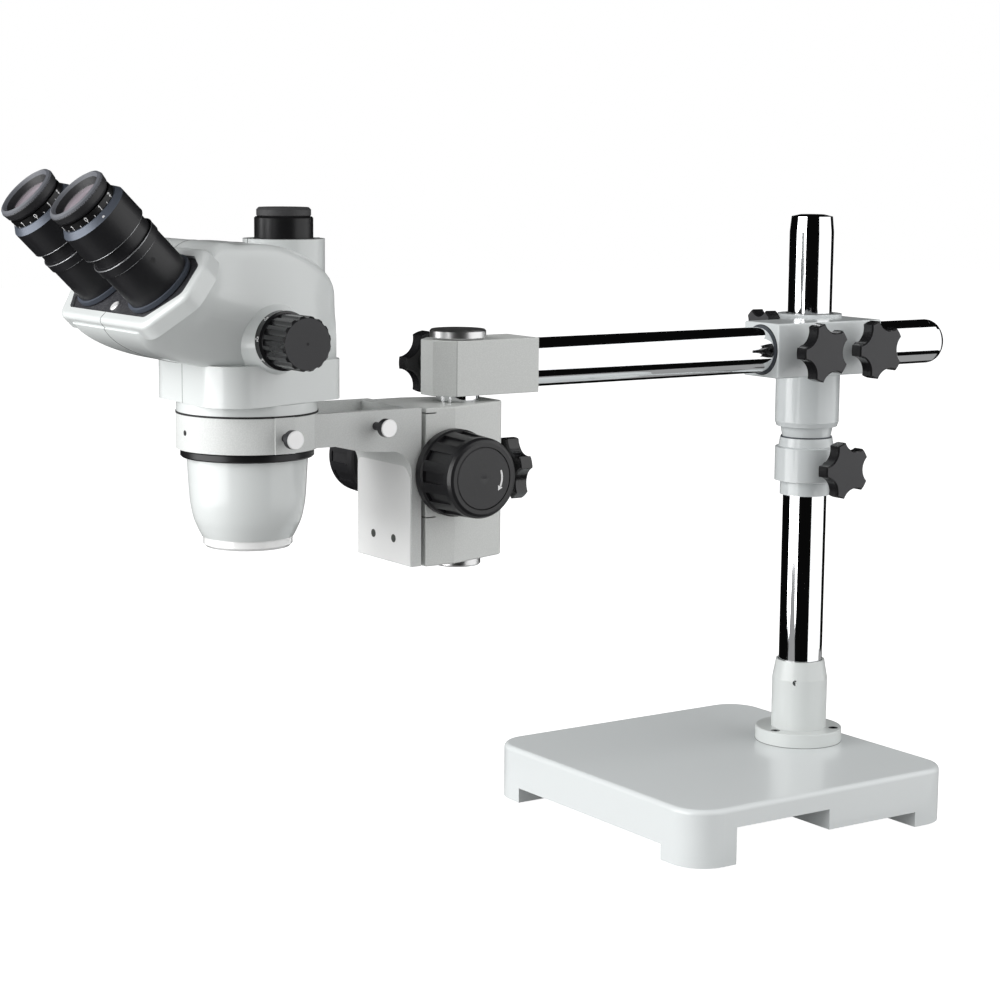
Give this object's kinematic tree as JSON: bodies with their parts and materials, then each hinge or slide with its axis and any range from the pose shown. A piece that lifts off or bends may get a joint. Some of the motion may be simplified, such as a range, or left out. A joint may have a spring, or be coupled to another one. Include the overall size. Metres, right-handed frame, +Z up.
{
  "type": "stereo zoom microscope on boom stand",
  "caption": "Stereo zoom microscope with trinocular port, carried by a focus mount on a single-arm boom stand with a post and a flat cast base.",
  "frame": {"origin": "on the floor, under the middle of the overall box; the stand's post stands at X 0.2654 m, Y 0.0008 m", "axes": "+Z up; X along the boom, the head and eyepieces towards -X; the side with the arm's clamp knobs faces -Y"},
  "size_m": [0.7128, 0.241, 0.4633],
  "materials": {
    "base_enamel": "satin light grey enamel",
    "feet_rubber": "matt",
    "flange_enamel": "satin light grey enamel",
    "screw_steel": "blackened",
    "post_chrome": "polished hard chrome",
    "clamp_paint": "light grey gloss paint",
    "knob_plastic": "black with matt faces",
    "bush_brass": "turned",
    "bush_dark": "dark slide liner",
    "arm_chrome": "polished hard chrome",
    "cap_chrome": "polished",
    "spigot_steel": "turned",
    "focus_paint": "fine-textured warm grey paint",
    "disc_steel": "turned",
    "slide_metal": "ground",
    "knob_cap_plastic": "satin black",
    "bracket_paint": "fine-textured light grey paint",
    "thumb_steel": "knurled",
    "head_paint": "warm off-white satin paint",
    "ring_black": "black anodised",
    "optic_glass": "coated",
    "plate_dark": "dark grained",
    "tube_black": "satin black anodised",
    "cup_rubber": "soft matt",
    "port_black": "satin",
    "carriage_metal": "turned"
  },
  "bodies": {
    "stand": {"base_casting": "base_enamel", "rubber_feet": "feet_rubber", "post_flange": "flange_enamel", "flange_screws": "screw_steel", "post": "post_chrome"},
    "collar": {"safety_collar": "clamp_paint"},
    "collar_clamp": {"collar_knob": "knob_plastic"},
    "post_slider": {"post_bush": "bush_dark"},
    "cross": {"cross_block": "clamp_paint"},
    "post_clamp": {"post_lock_knob": "knob_plastic"},
    "arm_clamp_left": {"arm_knob_left": "knob_plastic"},
    "arm_clamp_right": {"arm_knob_right": "knob_plastic"},
    "arm_liner": {"arm_bush": "bush_dark"},
    "arm": {"arm_tube": "arm_chrome", "arm_end_cap": "cap_chrome", "arm_spigot": "spigot_steel", "end_block": "focus_paint"},
    "end_clamp": {"end_block_knob": "knob_plastic"},
    "hanging_post": {"focus_post": "post_chrome", "post_top_disc": "disc_steel", "post_bottom_disc": "disc_steel"},
    "focus_unit": {"focus_housing": "focus_paint", "pinion_bushes": "bush_brass"},
    "focus_clamp": {"focus_lock_knob": "knob_plastic"},
    "pinion": {"pinion_shaft": "spigot_steel", "focus_knob_near": "knob_plastic", "focus_knob_far": "knob_plastic", "tension_caps": "knob_cap_plastic"},
    "bracket": {"slide_plate": "slide_metal", "slide_screws": "screw_steel", "focus_rack": "bush_brass", "head_bracket": "bracket_paint"},
    "bracket_screw": {"arm_thumb_screw": "thumb_steel"},
    "ring_screw": {"ring_thumb_screw": "thumb_steel"},
    "head": {"mount_barrel": "head_paint", "retaining_ring": "ring_black", "nose_cone": "head_paint", "lens_ring": "head_paint", "objective_lens": "optic_glass", "head_shell_near": "head_paint", "head_shell_far": "head_paint", "eyepiece_plate": "plate_dark", "plate_screw": "screw_steel", "port_ring": "ring_black", "zoom_guides": "spigot_steel"},
    "tube_near": {"eyetube_near": "tube_black"},
    "tube_far": {"eyetube_far": "tube_black"},
    "ocular_near": {"eyepiece_near": "tube_black", "eye_lens_near": "optic_glass"},
    "ocular_far": {"eyepiece_far": "tube_black", "eye_lens_far": "optic_glass"},
    "dioptre_near": {"dioptre_ring_near": "ring_black", "eyecup_near": "cup_rubber"},
    "dioptre_far": {"dioptre_ring_far": "ring_black", "eyecup_far": "cup_rubber"},
    "cap": {"port_cap": "port_black"},
    "zoom": {"zoom_shaft": "spigot_steel", "zoom_knob_near": "knob_plastic", "zoom_knob_far": "knob_plastic"},
    "carriage": {"zoom_lens_carriage": "carriage_metal"}
  },
  "joints": [
    {"name": "collar_slide", "type": "slide", "parent": "stand", "child": "collar", "axis": [0, 0, 1], "range_m": [-0.12, 0]},
    {"name": "collar_knob_turn", "type": "hinge", "parent": "collar", "child": "collar_clamp", "pos_m": [0.26686, -0.05, 0.2488], "axis": [0, -1, 0], "range_deg": [-180, 180]},
    {"name": "boom_height", "type": "slide", "parent": "stand", "child": "post_slider", "axis": [0, 0, 1], "range_m": [0, 0.055]},
    {"name": "boom_swing", "type": "hinge", "parent": "post_slider", "child": "cross", "pos_m": [0.26686, 0, 0.3387], "axis": [0, 0, 1], "range_deg": [-170, 170]},
    {"name": "post_knob_turn", "type": "hinge", "parent": "cross", "child": "post_clamp", "pos_m": [0.26686, 0, 0.3442], "axis": [-0.9903, 0.1392, 0], "range_deg": [-180, 180]},
    {"name": "arm_knob_left_turn", "type": "hinge", "parent": "cross", "child": "arm_clamp_left", "pos_m": [0.21286, -0.036, 0.3387], "axis": [0, -1, 0], "range_deg": [-180, 180]},
    {"name": "arm_knob_right_turn", "type": "hinge", "parent": "cross", "child": "arm_clamp_right", "pos_m": [0.26386, -0.036, 0.3387], "axis": [0, -1, 0], "range_deg": [-180, 180]},
    {"name": "arm_roll", "type": "hinge", "parent": "cross", "child": "arm_liner", "pos_m": [0.23886, -0.036, 0.3387], "axis": [1, 0, 0], "range_deg": [-90, 90]},
    {"name": "arm_reach", "type": "slide", "parent": "arm_liner", "child": "arm", "axis": [1, 0, 0], "range_m": [-0.05, 0.12]},
    {"name": "end_knob_turn", "type": "hinge", "parent": "arm", "child": "end_clamp", "pos_m": [-0.06414, -0.036, 0.3387], "axis": [0, 1, 0], "range_deg": [-180, 180]},
    {"name": "post_swing", "type": "hinge", "parent": "arm", "child": "hanging_post", "pos_m": [-0.06414, -0.036, 0.3], "axis": [0, 0, 1], "range_deg": [-45, 45]},
    {"name": "head_swing", "type": "hinge", "parent": "hanging_post", "child": "focus_unit", "pos_m": [-0.06414, -0.036, 0.27], "axis": [0, 0, 1], "range_deg": [-60, 60]},
    {"name": "lock_knob_turn", "type": "hinge", "parent": "focus_unit", "child": "focus_clamp", "pos_m": [-0.06414, -0.036, 0.2695], "axis": [1, 0, 0], "range_deg": [-180, 180]},
    {"name": "focus_travel", "type": "slide", "parent": "focus_unit", "child": "bracket", "axis": [0, 0, 1], "range_m": [-0.0175, 0.0175]},
    {"name": "focus_knob_turn", "type": "hinge", "parent": "focus_unit", "child": "pinion", "pos_m": [-0.09064, -0.036, 0.276], "axis": [0, 1, 0], "range_deg": [-168, 168]},
    {"name": "arm_screw_turn", "type": "hinge", "parent": "bracket", "child": "bracket_screw", "pos_m": [-0.14514, -0.036, 0.308], "axis": [0, -1, 0], "range_deg": [-180, 180]},
    {"name": "ring_screw_turn", "type": "hinge", "parent": "bracket", "child": "ring_screw", "pos_m": [-0.21514, -0.036, 0.30605], "axis": [0, -1, 0], "range_deg": [-180, 180]},
    {"name": "head_turn", "type": "hinge", "parent": "bracket", "child": "head", "pos_m": [-0.21714, -0.036, 0.32], "axis": [0, 0, 1], "range_deg": [-175, 175]},
    {"name": "pupil_near", "type": "hinge", "parent": "head", "child": "tube_near", "pos_m": [-0.29605, -0.0675, 0.39209], "axis": [-0.7071, 0, 0.7071], "range_deg": [-11, 54]},
    {"name": "pupil_far", "type": "hinge", "parent": "head", "child": "tube_far", "pos_m": [-0.29605, -0.0045, 0.39209], "axis": [-0.7071, 0, 0.7071], "range_deg": [-54, 11]},
    {"name": "ocular_near_pull", "type": "slide", "parent": "tube_near", "child": "ocular_near", "axis": [-0.7071, 0, 0.7071], "range_m": [0, 0.02]},
    {"name": "ocular_far_pull", "type": "slide", "parent": "tube_far", "child": "ocular_far", "axis": [-0.7071, 0, 0.7071], "range_m": [0, 0.02]},
    {"name": "dioptre_near_turn", "type": "hinge", "parent": "ocular_near", "child": "dioptre_near", "pos_m": [-0.33303, -0.0705, 0.43996], "axis": [-0.7071, 0, 0.7071], "range_deg": [-150, 150]},
    {"name": "dioptre_far_turn", "type": "hinge", "parent": "ocular_far", "child": "dioptre_far", "pos_m": [-0.33303, -0.0015, 0.43996], "axis": [-0.7071, 0, 0.7071], "range_deg": [-150, 150]},
    {"name": "port_cap_lift", "type": "slide", "parent": "head", "child": "cap", "axis": [0, 0, 1], "range_m": [0, 0.02]},
    {"name": "zoom_turn", "type": "hinge", "parent": "head", "child": "zoom", "pos_m": [-0.22154, -0.036, 0.365], "axis": [0, 1, 0], "range_deg": [-120, 120]},
    {"name": "zoom_travel", "type": "slide", "parent": "head", "child": "carriage", "axis": [0, 0, 1], "range_m": [-0.0155, 0.0155]}
  ],
  "couplings": [
    {"joint": "focus_knob_turn", "follows": "focus_travel", "rad_per_m": 166.67},
    {"joint": "pupil_far", "follows": "pupil_near", "ratio": -1},
    {"joint": "zoom_travel", "follows": "zoom_turn", "m_per_rad": 0.0072}
  ]
}
